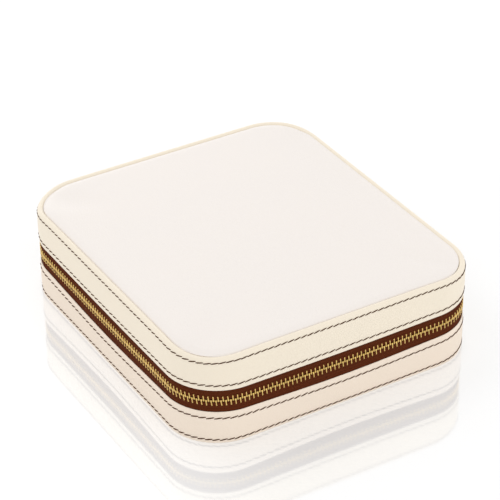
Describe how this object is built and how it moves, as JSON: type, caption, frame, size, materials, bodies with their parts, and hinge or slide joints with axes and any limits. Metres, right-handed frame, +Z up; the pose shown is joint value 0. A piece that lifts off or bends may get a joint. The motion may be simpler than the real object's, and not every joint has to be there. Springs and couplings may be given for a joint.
{
  "type": "jewelry box",
  "caption": "Zip-round leather jewelry box with a padded hinged lid, velvet compartments, ring rolls and a lid mirror.",
  "frame": {"origin": "middle of the underside of the case, on the surface it stands on, midway between the side walls and between the front and back walls", "axes": "+Z up, +Y towards the hinge at the back, -Y towards the front, +X towards the wall that carries the zip slider when closed"},
  "size_m": [0.1699, 0.1845, 0.0494],
  "materials": {
    "leather_lid": "satin",
    "leather_base": "satin",
    "velvet": "matt pile",
    "board": "matt",
    "foam": "matt",
    "tape": "woven",
    "zip_metal": "polished",
    "mirror_glass": "polished"
  },
  "bodies": {
    "base": {"base_side_band": "leather_base", "base_bottom_cover": "leather_base", "base_wall_frame": "board", "base_floor_board": "board", "base_floor_lining": "velvet", "base_wall_lining": "velvet", "tray_wall": "velvet", "divider_long": "velvet", "divider_middle": "velvet", "divider_cross": "velvet", "ring_bed": "velvet", "ring_roll_1": "velvet", "ring_roll_2": "velvet", "ring_roll_3": "velvet", "ring_roll_4": "velvet", "ring_roll_5": "velvet", "ring_roll_6": "velvet", "ring_roll_7": "velvet", "zip_tape_lower": "tape", "zip_teeth_lower": "zip_metal", "zip_stop_lower": "zip_metal", "spine_lower": "leather_base", "hinge_web_lower": "tape"},
    "lid": {"lid_side_band": "leather_lid", "lid_rim": "leather_lid", "lid_top_cover": "leather_lid", "lid_foam_pad": "foam", "lid_top_board": "board", "lid_wall_frame": "board", "lid_wall_lining": "velvet", "lid_roof_lining": "velvet", "mirror_frame": "leather_lid", "mirror": "mirror_glass", "zip_tape_upper": "tape", "zip_teeth_upper": "zip_metal", "zip_stop_upper": "zip_metal", "spine_upper": "leather_lid", "hinge_web_upper": "tape"},
    "slider": {"slider_body": "zip_metal"},
    "link": {"pull_link": "zip_metal"},
    "tab": {"pull_tab": "zip_metal"}
  },
  "joints": [
    {"name": "lid_hinge", "type": "hinge", "parent": "base", "child": "lid", "pos_m": [0, 0.093, 0.02435], "axis": [-1, 0, 0], "range_deg": [0, 110]},
    {"name": "zip_slide", "type": "slide", "parent": "base", "child": "slider", "axis": [0, -1, 0], "range_m": [0, 0.105]},
    {"name": "pull_swing", "type": "hinge", "parent": "slider", "child": "link", "pos_m": [0.0855, 0.05485, 0.02435], "axis": [0, -1, 0], "range_deg": [0, 150]},
    {"name": "tab_swing", "type": "hinge", "parent": "link", "child": "tab", "pos_m": [0.0855, 0.05485, 0.01745], "axis": [1, 0, 0], "range_deg": [-60, 60]}
  ]
}
